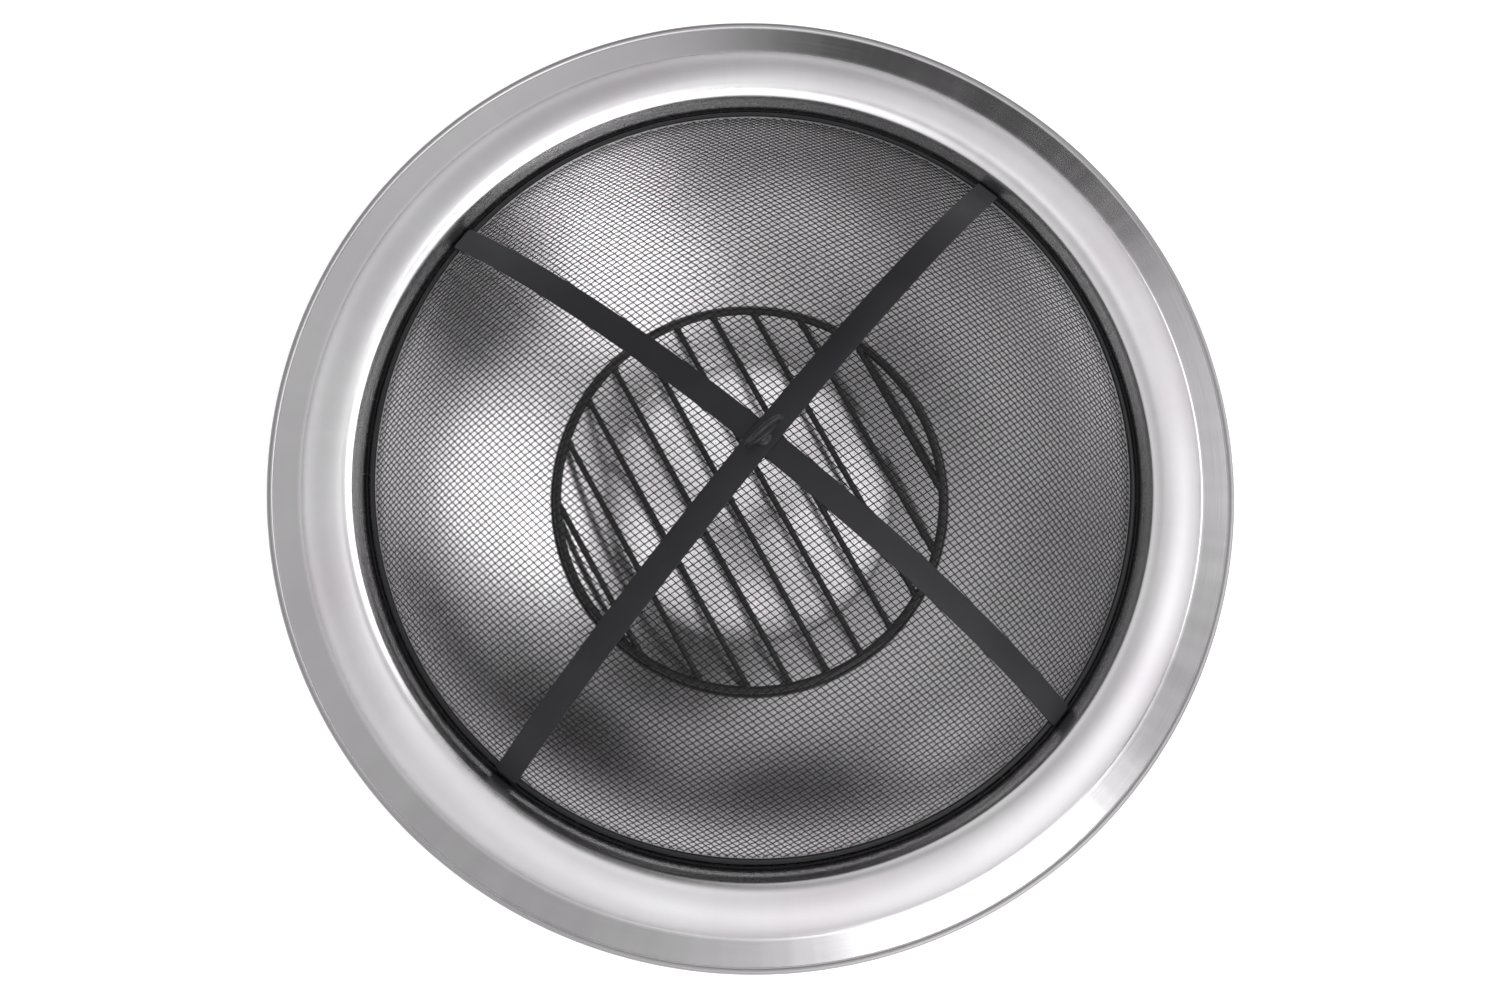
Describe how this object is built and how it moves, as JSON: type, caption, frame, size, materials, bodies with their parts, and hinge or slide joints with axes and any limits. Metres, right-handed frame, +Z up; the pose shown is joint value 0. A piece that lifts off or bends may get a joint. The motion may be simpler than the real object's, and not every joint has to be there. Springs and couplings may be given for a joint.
{
  "type": "fire pit with grate",
  "caption": "Round stainless steel fire bowl on a low pedestal, with a wire grate and a lift-off domed mesh spark screen.",
  "frame": {"origin": "on the ground under the middle of the bowl", "axes": "+Z up along the bowl's axis; +X and +Y along the two straps of the spark screen"},
  "size_m": [0.5799, 0.58, 0.4261],
  "materials": {
    "stainless_brushed": "spun and brushed stainless steel, bright, fine circular grain",
    "stainless_wire": "drawn stainless wire, satin",
    "black_coat": "heat-proof black coating, satin",
    "black_mesh": "woven steel wire, heat-proof black coating",
    "grate_black": "heat-proof black coating on steel wire, slightly glossy",
    "bracket_steel": "mill-finish stainless flat bar",
    "fastener_steel": "plain stainless fasteners",
    "foot_rubber": "matt black rubber"
  },
  "bodies": {
    "root": {"fire_bowl": "stainless_brushed", "support_ring": "stainless_wire", "pedestal_skirt": "stainless_brushed", "foot_ring": "black_coat", "foot_pad_1": "foot_rubber", "foot_pad_2": "foot_rubber", "foot_pad_3": "foot_rubber", "foot_pad_4": "foot_rubber", "bowl_bracket_1": "bracket_steel", "bowl_bracket_2": "bracket_steel", "bowl_bracket_3": "bracket_steel", "bowl_bracket_4": "bracket_steel", "bracket_screws": "fastener_steel", "bracket_nuts": "fastener_steel"},
    "lid": {"hoop_outer": "black_coat", "hoop_inner": "black_coat", "spark_mesh": "black_mesh", "strap_over": "black_coat", "strap_under": "black_coat", "handle_rivet": "black_coat", "handle_ring": "black_coat"},
    "grate": {"grate_ring": "grate_black", "grate_bar_01": "grate_black", "grate_bar_02": "grate_black", "grate_bar_03": "grate_black", "grate_bar_04": "grate_black", "grate_bar_05": "grate_black", "grate_bar_06": "grate_black", "grate_bar_07": "grate_black", "grate_bar_08": "grate_black", "grate_bar_09": "grate_black", "grate_bar_10": "grate_black"}
  },
  "joints": [
    {"name": "lid_lift", "type": "slide", "parent": "root", "child": "lid", "axis": [0, 0, 1], "range_m": [0, 0.3]},
    {"name": "grate_lift", "type": "slide", "parent": "root", "child": "grate", "axis": [0, 0, 1], "range_m": [0, 0.13]}
  ]
}
